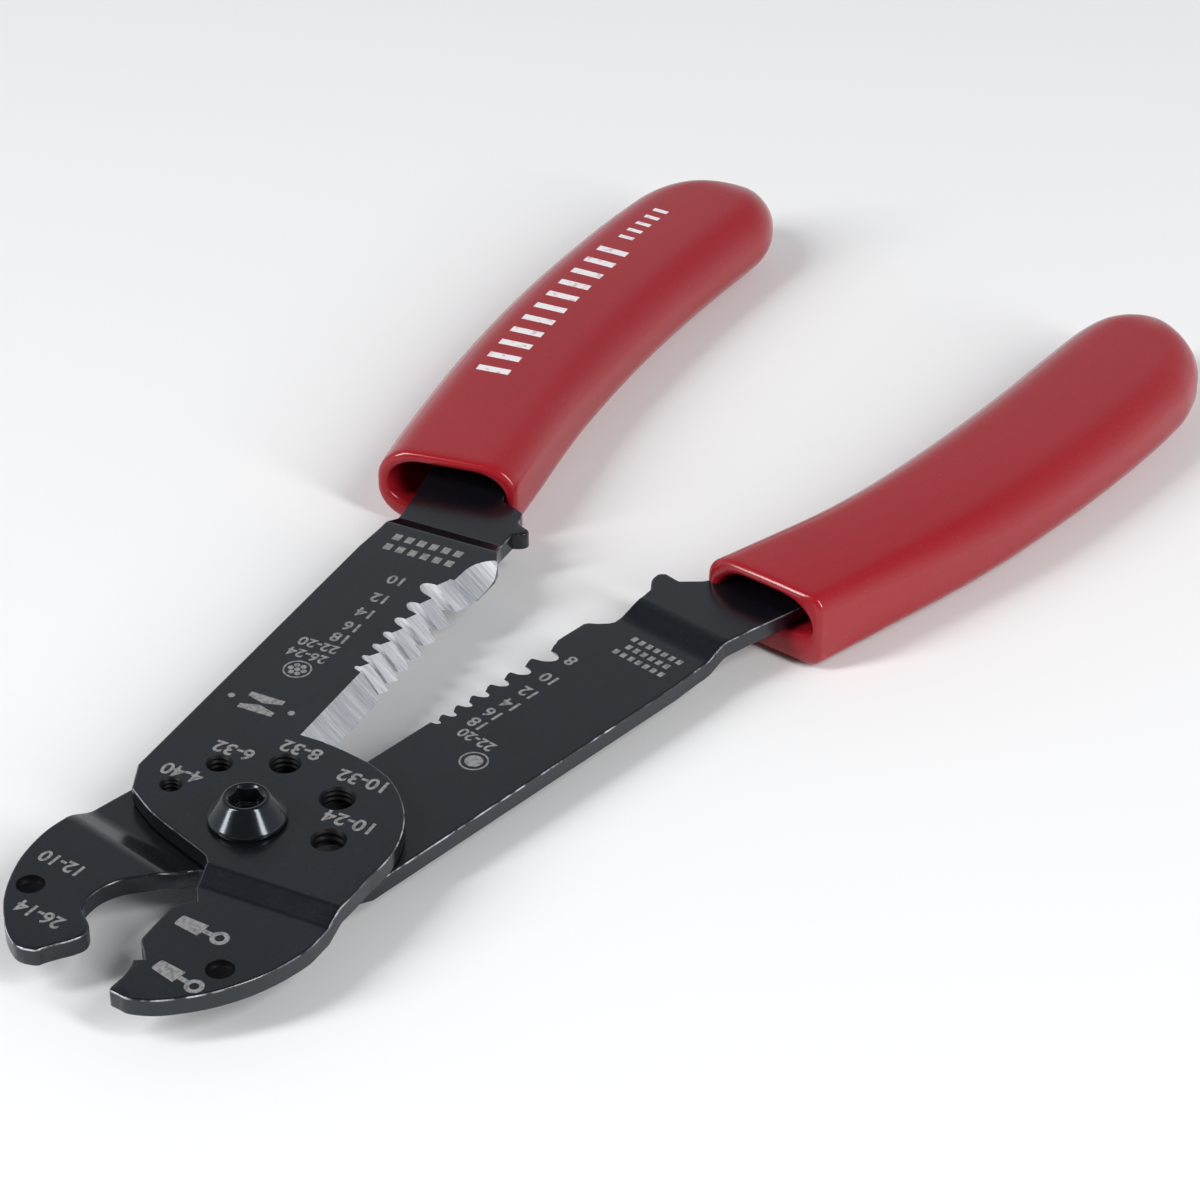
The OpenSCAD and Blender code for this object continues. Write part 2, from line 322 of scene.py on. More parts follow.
ARM_W, BOSS_R = 18.65, 18.8
jaw_outer = smooth([[-3.5, 18.5], [-8, 18.7], [-13, 18.85], [-17.7, 18.6], [-22.5, 17.15], [-26.3, 15.05], [-30, 12.1],
                    [-33.3, 7.9], [-34.8, 4.6], [-34.7, 2.9]], 8)
upper_jaw_outer = smooth([[-3.2, 19.62], [-5.6, 19.6], [-8, 19.55], [-11, 19.35], [-14.5, 19.2], [-17.7, 18.95], [-22.5, 17.3], [-26.3, 15.2],
                          [-30, 12.2], [-33.4, 8.0], [-34.8, 4.6], [-34.7, 2.9]], 6)
lower_jaw_in = smooth([[-34.7, 2.9], [-33.9, 1.5], [-32.9, 1.12], [-31.35, 0.48], [-29.7, -0.3], [-28.16, -0.7], [-27.1, -0.35],
                       [-26.2, 0.5], [-25.5, 2.0]], 6) + smooth([[-24.95, 3.3], [-23.8, 4.05], [-21.8, 4.55], [-20, 4.55],
                       [-17.7, 3.85], [-15.3, 2.2], [-13.15, 0.95], [-12, 0.5]], 6) + [(-10.2, 0.35), (-8.9, -0.3)]
upper_jaw_in = smooth([[-34.6, -2.2], [-34.4, -1.5], [-33.6, -1.35], [-31.5, -1.55], [-29.45, -1.3], [-28.5, -1.1]], 4) + \
    [(-27.75, -2.2), (-26.63, -1.42)] + smooth([[-25.24, -0.1], [-24.6, 0.22], [-24.0, 0.3]], 3) + \
    smooth([[-18.4, 0.28], [-17.6, 0.18], [-16.8, -0.24]], 3) + [(-15.4, -1.95), (-13.2, -0.45), (-11.5, -0.3), (-9.7, 0.0), (-8.7, 0.8), (-8.3, 1.5)]
boss_rear = smooth([[-7.66, 3.06], [-6.56, 5.94], [-4.16, 11.67], [-0.96, 16.68]], 6)
upper_tang_in = [(57.7, -0.55), (58.3, -0.95), (59.5, -1.15), (64.2, -1.25), (66, -0.8), (67.9, 0.2), (69.4, 1.0), (71.5, 1.6),
                 (75.0, 1.6)] + smooth([[75.3, 0.9], [75.8, 0.15], [76.5, -0.12], [77.05, 0.1], [77.35, 0.7], [77.6, 1.35],
                 [78.05, 2.1], [78.8, 2.45], [79.7, 2.6], [80.5, 2.9]], 4) + [(81.4, 4.2), (82.2, 6.9)]
lower_tang_in = [(57.7, 0.2), (58.2, 0.5), (58.7, 0.55), (63.6, 0.5), (64.3, 0.15), (65, -0.9), (66, -1.9), (66.8, -2.35),
                 (68, -2.35), (72.6, -2.4), (74.6, -2.1)] + smooth([[75.6, -1.3], [76.6, -0.62], [77.6, -0.4], [78.4, -0.5],
                 [78.9, -1.2]], 5) + [(78.8, -3.7), (80.9, -6.0), (82.2, -6.9)]
tang_in = [(95, 12.5), (112, 15.6), (130, 16.6), (150, 15.6), (164, 13.6)]
tang_out = [(167, 16.2), (165, 20.2), (150, 23.6), (130, 24.6), (112, 23.8), (96, 22.2), (84, 20.3), (80, 19.6), (76.5, 18.95),
            (71.5, 18.3), (66, 18.35), (61, ARM_W)]
upper_plan = upper_jaw_in + boss_rear + [(3.54, ARM_W)] + rev(tang_out) + rev(tang_in) + rev(upper_tang_in) + \
    [(18.5, -0.6)] + smooth([[18.42, -1.8], [18.1, -3.8], [17.75, -5.6], [17.35, -7.4], [16.8, -9.2]], 4) + \
    arc(0.2, -1.3, BOSS_R - 0.2, -33, -96.5, 30) + flip(upper_jaw_outer)
lower_plan = lower_jaw_in + flip(boss_rear) + [(3.54, -ARM_W)] + flip(rev(tang_out)) + flip(rev(tang_in)) + rev(lower_tang_in) + \
    arc(0, 0, BOSS_R - 0.3, 0.6, 96, 40) + jaw_outer

notches = [(32.9, 35.25, 33.75, 1.35, 0.42), (35.25, 38.05, 36.4, 1.7, 0.55), (38.05, 41.05, 39.35, 1.75, 0.6),
           (41.05, 44.45, 42.5, 1.85, 0.7), (44.45, 48.3, 46.15, 2.05, 0.85), (48.3, 52.6, 50.15, 2.35, 1.05),
           (52.6, 57.7, 55.05, 2.9, 1.35)]
# five screw-cutting holes in the rest position: x, y, wall radius, thread depth, pitch
holes = [(0.1, 12.6, 1.2, 0.24, 0.635), (7.05, 10.35, 1.45, 0.28, 0.794), (11.8, 3.3, 1.8, 0.28, 0.794),
         (9.75, -6.8, 2.08, 0.28, 0.794), (2.3, -11.15, 2.0, 0.36, 1.058)]


# ------------------------------------------------------------------ mesh helpers (mm)
def mesh_object(name, verts, faces, mats=(), smooth_faces=False):
    me = bpy.data.meshes.new(name)
    me.from_pydata([tuple(map(float, v)) for v in verts], [], [tuple(f) for f in faces])
    bm = bmesh.new()
    bm.from_mesh(me)
    bmesh.ops.recalc_face_normals(bm, faces=bm.faces)
    bm.to_mesh(me)
    bm.free()
    for m in mats:
        me.materials.append(m)
    if smooth_faces:
        me.polygons.foreach_set("use_smooth", [True] * len(me.polygons))
    o = bpy.data.objects.new(name, me)
    scene.collection.objects.link(o)
    return o


def drop(o):
    me = o.data
    bpy.data.objects.remove(o)
    if me is not None and me.users == 0:
        bpy.data.meshes.remove(me)


def cut(o, cutters, operation="DIFFERENCE"):
    """Booleans applied one after the other; each cutter's material goes onto the face it cuts."""
    for c in cutters:
        md = o.modifiers.new("b", "BOOLEAN")
        md.operation = operation
        md.solver = "EXACT"
        md.object = c
        md.material_mode = "TRANSFER"
        dg = bpy.context.evaluated_depsgraph_get()
        me = bpy.data.meshes.new_from_object(o.evaluated_get(dg))
        old = o.data
        o.modifiers.clear()
        o.data = me
        bpy.data.meshes.remove(old)
        drop(c)
    return o


def inset(P, d):
    """A closed outline (counter-clockwise) moved inwards by d."""
    P = np.array(P, float)
    e = np.roll(P, -1, 0) - P
    t = e / np.linalg.norm(e, axis=1)[:, None]
    n1 = np.stack([-t[:, 1], t[:, 0]], 1)
    n0 = np.roll(n1, 1, 0)
    k = 1 + (n0 * n1).sum(1)
    k = np.maximum(k, 0.3)
    return P + np.reshape(d, (-1, 1)) * (n0 + n1) / k[:, None]


def room(P, want):
    """How far each point of an outline can move inwards without its short edges turning over, at most want."""
    P = np.array(P, float)
    e = np.roll(P, -1, 0) - P
    L1 = np.linalg.norm(e, axis=1)
    L0 = np.roll(L1, 1)
    t1 = e / L1[:, None]
    t0 = np.roll(t1, 1, 0)
    turn = np.abs(np.arctan2(t0[:, 0] * t1[:, 1] - t0[:, 1] * t1[:, 0], (t0 * t1).sum(1)))
    m = np.minimum(want, 0.42 * np.minimum(L0, L1) / np.maximum(np.tan(turn / 2), 1e-3))
    for _ in range(12):
        m = np.minimum(m, np.minimum(np.roll(m, 1) + 0.4 * L0, np.roll(m, -1) + 0.4 * L1))
    return m


def clean(P, gap=0.05):
    out = []
    for q in P:
        if not out or math.dist(out[-1], q) > gap:
            out.append(q)
    if math.dist(out[0], out[-1]) <= gap:
        out.pop()
    a = sum(p[0] * q[1] - q[0] * p[1] for p, q in zip(out, out[1:] + out[:1]))
    return out if a > 0 else out[::-1]


def refine(P, step):
    out = []
    for p, q in zip(P, P[1:] + P[:1]):
        n = max(1, math.ceil(math.dist(p, q) / step))
        out += [(p[0] + (q[0] - p[0]) * i / n, p[1] + (q[1] - p[1]) * i / n) for i in range(n)]
    return out


def plate(name, plan, r_top, r_bot, shift, slices, mat):
    """A plate with rounded edges, bent along x by shift(x)."""
    P = refine(clean(plan), 6.0)
    n = len(P)
    rings = []
    K = 4
    mb, mt = room(P, r_bot), room(P, r_top)
    for i in range(K + 1):
        a = math.pi / 2 * i / K
        rings.append((inset(P, mb * (1 - math.sin(a))), -T / 2 + mb * (1 - math.cos(a))))
    for i in range(K, -1, -1):
        a = math.pi / 2 * i / K
        rings.append((inset(P, mt * (1 - math.sin(a))), T / 2 - mt * (1 - math.cos(a))))
    verts, faces = [], []
    for ring, z in rings:
        verts += [(q[0], q[1], h) for q, h in zip(ring, z)]
    for k in range(len(rings) - 1):
        for i in range(n):
            j = (i + 1) % n
            faces.append((k * n + i, k * n + j, (k + 1) * n + j, (k + 1) * n + i))
    for k, up in ((0, False), (len(rings) - 1, True)):
        ring = rings[k][0]
        res = delaunay_2d_cdt([Vector(q) for q in ring], [(i, (i + 1) % n) for i in range(n)], [], 1, 1e-6)
        lookup = {}
        for new, orig in enumerate(res[3]):
            if not orig:
                raise ValueError(f"{name}: the outline crosses itself near {tuple(res[0][new])}")
            lookup[new] = orig[0]
        for f in res[2]:
            f = [lookup[v] + k * n for v in f]
            faces.append(f if up else f[::-1])
    o = mesh_object(name, verts, faces, [mat])
    bm = bmesh.new()
    bm.from_mesh(o.data)
    for x in slices:
        bmesh.ops.bisect_plane(bm, geom=bm.verts[:] + bm.edges[:] + bm.faces[:], dist=1e-5, plane_co=(x, 0, 0), plane_no=(1, 0, 0))
    for v in bm.verts:
        v.co.z += shift(v.co.x)
    bm.to_mesh(o.data)
    bm.free()
    return o


def prism(name, poly2d, place, z0, z1, mat):
    """Extruded outline; place maps (u, v, w) to a point."""
    n = len(poly2d)
    verts = [place(u, v, z0) for u, v in poly2d] + [place(u, v, z1) for u, v in poly2d]
    faces = [tuple(range(n))[::-1], tuple(range(n, 2 * n))] + [(i, (i + 1) % n, n + (i + 1) % n, n + i) for i in range(n)]
    return mesh_object(name, verts, faces, [mat])


def lathe(name, profile, seg, mats, centre=(0, 0, 0), smooth_faces=False):
    """Closed solid of revolution about z; the profile starts and ends on the axis."""
    verts, faces = [], []
    prof = profile[1:-1]
    for r, z in prof:
        for i in range(seg):
            a = 2 * math.pi * i / seg
            verts.append((centre[0] + r * math.cos(a), centre[1] + r * math.sin(a), centre[2] + z))
    for k in range(len(prof) - 1):
        for i in range(seg):
            j = (i + 1) % seg
            faces.append((k * seg + i, k * seg + j, (k + 1) * seg + j, (k + 1) * seg + i))
    for k, (r, z) in ((0, profile[0]), (len(prof) - 1, profile[-1])):
        c = len(verts)
        verts.append((centre[0], centre[1], centre[2] + z))
        for i in range(seg):
            faces.append((k * seg + i, k * seg + (i + 1) % seg, c))
    return mesh_object(name, verts, faces, mats, smooth_faces)


def thread_cutter(name, x, y, r, depth, pitch, z0, z1, mat, chamfer):
    """A tap's shape: crests at r, roots depth further out, with a flared mouth at each end."""
    seg, steps = 36, 10
    nz = int(round((z1 - z0) / pitch * steps))
    verts, faces = [], []
    for k in range(nz + 1):
        z = z0 + (z1 - z0) * k / nz
        for i in range(seg):
            a = 2 * math.pi * i / seg
            p = (z / pitch - i / seg) % 1.0
            tri = 1 - abs(2 * p - 1)
            rr = r + 0.75 * depth * min(1.0, max(0.0, (tri - 0.12) / 0.76))
            for face in (chamfer[0] - z, z - chamfer[1]):
                if face > -0.32:
                    rr = max(rr, r + 0.36 + face)
            verts.append((x + rr * math.cos(a), y + rr * math.sin(a), z))
    for k in range(nz):
        for i in range(seg):
            j = (i + 1) % seg
            faces.append((k * seg + i, k * seg + j, (k + 1) * seg + j, (k + 1) * seg + i))
    faces.append(tuple(range(seg))[::-1])
    faces.append(tuple(nz * seg + i for i in range(seg)))
    return mesh_object(name, verts, faces, [mat])


def finish_mesh(o, angle=30.0, scale=0.001):
    """Sharp edges by angle, smooth elsewhere with face-weighted normals; then millimetres to metres."""
    bm = bmesh.new()
    bm.from_mesh(o.data)
    bmesh.ops.remove_doubles(bm, verts=bm.verts, dist=2e-4)
    bmesh.ops.dissolve_degenerate(bm, edges=bm.edges, dist=2e-4)
    loose = [v for v in bm.verts if not v.link_faces]
    bmesh.ops.delete(bm, geom=loose, context="VERTS")
    bm.to_mesh(o.data)
    bm.free()
    o.data.transform(Matrix.Scale(scale, 4))
    o.data.polygons.foreach_set("use_smooth", [True] * len(o.data.polygons))
    o.data.set_sharp_from_angle(angle=math.radians(angle))
    w = o.modifiers.new("normals", "WEIGHTED_NORMAL")
    w.keep_sharp = True
    w.weight = 100
    w.mode = "FACE_AREA"
    return o


# ------------------------------------------------------------------ levers
def smoothstep(u):
    u = min(1.0, max(0.0, u))
    return u * u * (3 - 2 * u)


def slope_run(u, r=0.16):
    """A straight slope from 0 to 1 with a short round run-in and run-out."""
    u = min(1.0, max(0.0, u))
    if u < r:
        return u * u / (2 * r * (1 - r))
    if u > 1 - r:
        return 1 - (1 - u) ** 2 / (2 * r * (1 - r))
    return (u - r / 2) / (1 - r)


def joggle(x, jaw=9.7, run=3.5, r=0.16, tang=67.9, tang_run=3.9):
    return DROP * (1 - max(slope_run((-x - jaw) / run, r), slope_run((x - tang) / tang_run, r)))


slices = [-9.3 - 0.14 * i for i in range(36)] + [67.3 + 0.16 * i for i in range(34)]
K = (T - LAND) / BEVEL_RUN
ZB = G2 + LAND


def edge_cutters(y0, sh_y, turn, mat, steel):
    """Bevel, shoulder bevel and seven notches; turn maps a point of the upper lever to this lever."""
    out = []

    def along_x(x0, sy, a):
        ca, sa = math.cos(a), math.sin(a)
        return lambda u, v, w: turn(x0 + w * ca - u * sa, sy + w * sa + u * ca, v)

    out.append(prism("bevel", [(y0 - 2.2, ZB - 2.2 * K), (y0 + BEVEL_RUN + 1.5, ZB + (BEVEL_RUN + 1.5) * K),
                               (y0 - 2.2, ZB + (BEVEL_RUN + 1.5) * K)], along_x(18.4, 0, 0), 0, 40.8, mat))
    place = along_x(58.4, sh_y, math.radians(-4))
    tri = [(-4.4, ZB - 4.4 * K), (BEVEL_RUN + 1.5, ZB + (BEVEL_RUN + 1.5) * K), (-4.4, ZB + (BEVEL_RUN + 1.5) * K)]
    verts, faces, steps = [], [], [0.0] + [3.2 + 0.3 * i for i in range(17)]
    for w in steps:
        q = min(1.0, max(0.0, (w - 3.2) / 4.8))
        off = -3.9 * (1 - math.sqrt(max(0.0, 1 - q * q)))
        verts += [place(u + off, v, w) for u, v in tri]
    for k in range(len(steps) - 1):
        faces += [(3 * k + i, 3 * k + (i + 1) % 3, 3 * k + 3 + (i + 1) % 3, 3 * k + 3 + i) for i in range(3)]
    faces += [(2, 1, 0), tuple(3 * (len(steps) - 1) + i for i in range(3))]
    out.append(mesh_object("shoulder", verts, faces, [mat]))
    cl, sl, ss, cs = math.cos(LEAN), math.sin(LEAN), math.sin(SLOPE), math.cos(SLOPE)

    def st(dx, dy):
        return (dx * cl - dy * sl, ss * (dx * sl + dy * cl))

    for n in notches:
        r = n[4]
        a = st(0, n[3])
        cx, cy = a[0], a[1] - r
        b0, b1 = math.radians(168), math.radians(18)
        pts = [st(n[0] - n[2] + 0.04, -1.6), st(n[0] - n[2] + 0.04, 0)]
        pts += [(cx + r * math.cos(b0 + (b1 - b0) * i / 14), cy + r * math.sin(b0 + (b1 - b0) * i / 14)) for i in range(15)]
        pts += [st(n[1] - n[2] - 0.04, 0), st(n[1] - n[2] - 0.04, -1.6)]
        tilt = -(math.pi / 2 - SLOPE)
        ct, sn = math.cos(tilt), math.sin(tilt)

        def place(u, v, w, n=n):
            y1, z1 = v * ct - w * sn, v * sn + w * ct
            return turn(n[2] + u * cl + y1 * sl, y0 - u * sl + y1 * cl, G2 + z1)

        out.append(prism("notch", pts, place, -13, 13, mat))
    return out


def dimple(x, y):
    return lathe("dimple", [(0, T / 2 - 1.25), (0.9, T / 2 - 1.15), (1.55, T / 2 - 0.95), (1.76, T / 2 - 0.60), (1.8, T / 2 - 0.06),
                            (1.95, T / 2 + 0.06), (1.95, 3), (0, 3)], 48, [M_TAP], (x, y, 0))


def turned(o, angle, z):
    o.data.transform(Matrix.Translation((0, 0, z)) @ Matrix.Rotation(angle, 4, "Z"))
    return o


def build_upper():
    o = plate("upper_lever_steel", upper_plan, 0.32, 0.2, joggle, slices, M_STEEL_U)
    cut(o, edge_cutters(-0.55, -1.2, lambda x, y, z: (x, y, z), M_GROUND_U, M_STEEL_U))
    cut(o, [dimple(-25.3, -11.4)])
    turned(o, OPEN, 0)
    cs = [lathe("bore", [(0, -4), (3.25, -4), (3.25, 6), (0, 6)], 64, [M_STEEL_U])]
    for x, y, r, d, p in holes:
        cs.append(thread_cutter("tap", x, y, r, d, p, G2 - 0.2, G2 + T + 0.2, M_TAP, (G2, G2 + T)))
    cut(o, cs)
    turned(o, 0, MID)
    return finish_mesh(o)


def build_lower():
    o = plate("lower_lever_steel", lower_plan, 0.32, 0.2, lambda x: -joggle(x, 9.3, 4.9, 0.34, 67.3, 5.2), slices, M_STEEL_L)
    cut(o, edge_cutters(-0.2, -0.5, lambda x, y, z: (x, -y, -z), M_GROUND_L, M_STEEL_L))
    cut(o, [dimple(-25.9, 11.7)])
    turned(o, -OPEN, 0)
    cs = [lathe("bore", [(0, -6), (3.2, -6), (3.2, 6), (0, 6)], 64, [M_STEEL_L])]
    for x, y, r, d, p in holes:
        q = r + 0.6
        cs.append(lathe("hole", [(0, -4), (q + 0.9, -4), (q + 0.3, -G2 - T - 0.001), (q, -G2 - T + 0.3), (q, 1), (0, 1)], 48,
                        [M_STEEL_L], (x, y, 0)))
    cut(o, cs)
    turned(o, 0, MID)
    return finish_mesh(o)


upper = build_upper()
lower = build_lower()


# ------------------------------------------------------------------ pivot screw and nut
def build_screw():
    hz = MID + G2 + T + 0.1
    prof = [(0, 0), (2.75, 0.0), (3.14, 0.35)]
    z = 0.35
    while z < 2.9:
        prof += [(3.14, z), (2.96, z + 0.12), (3.14, z + 0.25)]
        z += 0.4
    prof += [(3.18, 3.2), (3.18, hz), (4.85, hz), (5.07, hz + 0.07), (5.14, hz + 0.25), (5.15, hz + 0.45), (5.09, hz + 0.66),
             (4.95, hz + 0.86), (4.0, hz + 2.12), (3.25, hz + 3.11), (3.08, hz + 3.33), (2.93, hz + 3.45), (2.75, hz + 3.5),
             (2.62, hz + 3.49), (2.5, hz + 3.42), (0, hz + 3.42)]
    o = lathe("pivot_screw_head", prof, 96, [M_SCREW])
    af = 3.97
    R = af / math.sqrt(3)
    hexa = []
    for i in range(6):
        a = math.radians(4 + 60 * i)
        for da in (-4, 0, 4):
            b = a + math.radians(da)
            q = R * (0.985 if da else 0.992)
            hexa.append((q * math.cos(b), q * math.sin(b)))
    socket = prism("socket", hexa, lambda u, v, w: (u, v, w), hz + 0.95, hz + 5, M_SCREW)
    flare = lathe("flare", [(0, hz + 3.42 - 0.42), (1.98, hz + 3.42 - 0.42), (2.5, hz + 3.44), (2.5, hz + 4), (0, hz + 4)], 48, [M_SCREW])
    drill = lathe("drill", [(0, hz + 0.3), (1.7, hz + 0.9), (1.7, hz + 2), (0, hz + 2)], 48, [M_SCREW])
    cut(o, [socket, flare, drill])
    return finish_mesh(o, 34)


def build_nut():
    R = 11.1 / math.sqrt(3)
    top = MID - G2 - T
    hexa = [(R * math.cos(math.radians(60 * i)), R * math.sin(math.radians(60 * i))) for i in range(6)]
    P = refine(clean(hexa), 0.9)
    P = [tuple(q) for q in P]
    o = prism("pivot_nut_hex", P, lambda u, v, w: (u, v, w), 0.0, top - 0.02, M_SCREW)
    shape = lathe("shape", [(0, -1), (11.1 / 2 - 0.30 - 1.1, -1.0), (11.1 / 2 - 0.30, 0.0), (R + 0.25, 0.85), (R + 0.4, 1.2), (R + 0.4, top - 0.45),
                            (R - 0.35, top), (0, top)], 96, [M_SCREW])
    cut(o, [shape], "INTERSECT")
    seg = thread_cutter("tap", 0, 0, 3.2, 0.22, 0.8, -0.3, top + 0.3, M_SCREW, (0.0, top))
    cut(o, [seg])
    return finish_mesh(o, 28)


screw = build_screw()
nut = build_nut()


# ------------------------------------------------------------------ grips
# outer and inner edge of each grip along its lever, then round the end
GRIP_X = (81.0, 90, 100, 110, 120, 130, 140, 150, 158, 165)
A_OUTER = (26.85, 28.4, 29.65, 30.7, 31.4, 31.75, 31.7, 31.25, 30.7, 29.9)
A_INNER = (5.1, 6.1, 7.25, 8.1, 8.5, 8.55, 8.35, 7.8, 7.1, 6.4)
A_END = ([(170.8, 29.0), (174.6, 27.5), (177.8, 24.9), (179.9, 21.4), (181.4, 18.2), (182.4, 15.6)],
         [(168.2, 6.05), (171.6, 5.8), (174.8, 6.25), (177.8, 7.4), (180.1, 9.1), (181.8, 11.0)], (182.75, 13.2))
B_OUTER = (25.8, 26.95, 28.4, 29.85, 30.8, 31.15, 31.05, 30.55, 29.85, 28.9)
B_INNER = (6.0, 7.5, 8.85, 9.35, 9.35, 8.95, 8.35, 7.45, 6.55, 5.8)
B_END = ([(169.5, 27.8), (172.8, 26.4), (175.8, 24.2), (178.3, 21.2), (180.3, 18.1), (181.5, 15.5)],
         [(167.4, 5.65), (170.4, 5.6), (173.7, 6.0), (176.8, 7.2), (179.4, 9.0), (181.2, 11.1)], (182.1, 13.4))


def grip_lines(outer, inner):
    mid = [((a + b) / 2) for a, b in zip(outer, inner)]
    slope = np.gradient(np.array(mid), np.array(GRIP_X))
    wide = [(a - b) * math.cos(math.atan(k)) for a, b, k in zip(outer, inner, slope)]
    return list(zip(GRIP_X, mid)), list(zip(GRIP_X, wide))


def spline(pts):
    s = smooth(pts, 12)
    xs, ys = [q[0] for q in s], [q[1] for q in s]
    return lambda x: float(np.interp(x, xs, ys))


def section(a, h, outer, inner, crown):
    """Rounded outline, half width a, half height h; outer and inner are the corner radii (across, up) on each side."""
    pts = []
    NC, NT, NS = 9, 10, 3
    for q, (sx, sz) in enumerate(((1, 1), (-1, 1), (-1, -1), (1, -1))):
        ru, rz = outer if sx > 0 else inner
        ru, rz = min(ru, a * 0.999), min(rz, h * 0.999)
        for i in range(NC + 1):
            t = math.pi / 2 * (q + i / NC)
            pts.append((sx * (a - ru) + ru * math.cos(t), sz * (h - rz) + rz * math.sin(t)))
        m = NT if q % 2 == 0 else NS
        nu, nz = inner if q in (0, 1) else outer
        nu, nz = min(nu, a * 0.999), min(nz, h * 0.999)
        ux, uz = pts[-1]
        nx, ny = ((-sx) * (a - nu), sz * h) if q % 2 == 0 else (sx * a, -sz * (h - nz))
        for i in range(1, m):
            f = i / m
            pts.append((ux + (nx - ux) * f, uz + (ny - uz) * f))
    out = []
    for u, w in pts:
        k = crown * (u / a) ** 2 * min(1.0, abs(w) / h)
        out.append((u, w - math.copysign(k, w) if w else w))
    return out


def build_grip(name, upper_side, x_mouth, corners, edges, hole, tilt, sink):
    centre_pts, width_pts = grip_lines(edges[0], edges[1])
    end_out, end_in, tip = edges[2]
    cy, wd = spline(centre_pts), spline(width_pts)

    def heading(x, q=None):
        tg = np.array((0.8, cy(x + 0.4) - cy(x - 0.4) if q is None else q))
        tg[1] += 0.8 * tilt * max(0.0, 1 - (x - x_mouth) / 14)
        return tg / np.linalg.norm(tg)

    stations = []
    xs = [x_mouth + 0.9, x_mouth + 2, x_mouth + 3.5, x_mouth + 5.5] + [x_mouth + 8 + 2.5 * i for i in range(200)]
    xs = [x for x in xs if x < 163.5] + [165.0]
    pairs = []
    for x in xs:
        c = np.array((x, cy(x)))
        tg = heading(x, cy(165) - cy(164.2) if x > 164 else None)
        nm = np.array((-tg[1], tg[0]))
        w = wd(x) / 2
        pairs.append((c + nm * w, c - nm * w, tg))
    po = smooth([tuple(pairs[-2][0]), tuple(pairs[-1][0])] + end_out + [tip], 4)
    pi = smooth([tuple(pairs[-2][1]), tuple(pairs[-1][1])] + end_in + [tip], 4)
    for o_, i_ in list(zip(po, pi))[5:-1]:
        o_, i_ = np.array(o_), np.array(i_)
        pairs.append((o_, i_, None))
    tip_v = np.array(tip)
    rows = []

    def ring(c, side, a, h, ro, ri, crown, push=(0, 0), low=1.0):
        rows.append([(c[0] + side[0] * u + push[0], c[1] + side[1] * u + push[1], w * (low if w < 0 else 1.0))
                     for u, w in section(a, h, ro, ri, crown)])

    def at(k):
        o_, i_, tg = pairs[k]
        c, d = (o_ + i_) / 2, o_ - i_
        a = np.linalg.norm(d) / 2
        return c, d / (2 * a), a

    def radii(x):
        xs = [81, 86, 95, 110, 130, 185]
        f = [[float(np.interp(x, xs, row)) for row in table] for table in corners]
        return f[0], f[1]

    def blend2(p, q, f):
        return [x + (y - x) * f for x, y in zip(p, q)]

    wall = 1.7
    c0, s0, a0 = at(0)
    t0 = np.array((s0[1], -s0[0]))
    # blind socket, inner wall, then the rounded rim
    for dx, d in ((20.0, wall + 2.2), (19.2, wall + 0.9), (17.5, wall + 0.25), (12.0, wall + 0.1), (6.0, wall), (2.0, wall), (0.6, wall)):
        x = x_mouth + 0.9 + dx
        c = np.array((x, cy(x)))
        tg = heading(x)
        ring(c, np.array((-tg[1], tg[0])), wd(x) / 2 - d, 6 - d, hole[0], hole[1], 0.1, low=sink)
    ro, ri = radii(x_mouth)
    for i in range(1, 9):
        al = math.pi * (1 - i / 9)
        f = (1 - math.cos(al)) / 2
        back = 0.85 * math.sin(al)
        ring(c0, s0, a0 - wall * f, 6 - wall * f, blend2(ro, hole[0], f), blend2(ri, hole[1], f), 0.35 - 0.25 * f, tuple(-t0 * back), low=1 + (sink - 1) * f)
    for k in range(len(pairs)):
        c, s, a = at(k)
        D = np.linalg.norm(tip_v - c)
        h = 6.0
        if D < 9.5:
            h = 6.0 * math.sqrt(max(0.0, 1 - (1 - D / 9.5) ** 2.6))
        ro, ri = radii(c[0])
        ro, ri = (ro[0], min(ro[1], 0.97 * h)), (ri[0], min(ri[1], 0.97 * h))
        ring(c, s, a, h, ro, ri, 0.35 * h / 6)
    m = len(rows[0])
    verts = [p for row in rows for p in row]
    faces = []
    for k in range(len(rows) - 1):
        for i in range(m):
            j = (i + 1) % m
            faces.append((k * m + i, k * m + j, (k + 1) * m + j, (k + 1) * m + i))
    verts.append((float(tip_v[0]), float(tip_v[1]), 0.0))
    last = (len(rows) - 1) * m
    for i in range(m):
        faces.append((last + i, last + (i + 1) % m, len(verts) - 1))
    cen = np.mean(np.array(rows[0]), 0)
    verts.append(tuple(cen))
    for i in range(m):
        faces.append((i, (i + 1) % m, len(verts) - 1))
    if not upper_side:
        verts = [(x, -y, z) for x, y, z in verts]
    ang = OPEN if upper_side else -OPEN
    o = mesh_object(name, verts, faces, [M_RED], True)
    turned(o, ang, MID)
    o.data.transform(Matrix.Scale(0.001, 4))
    return o


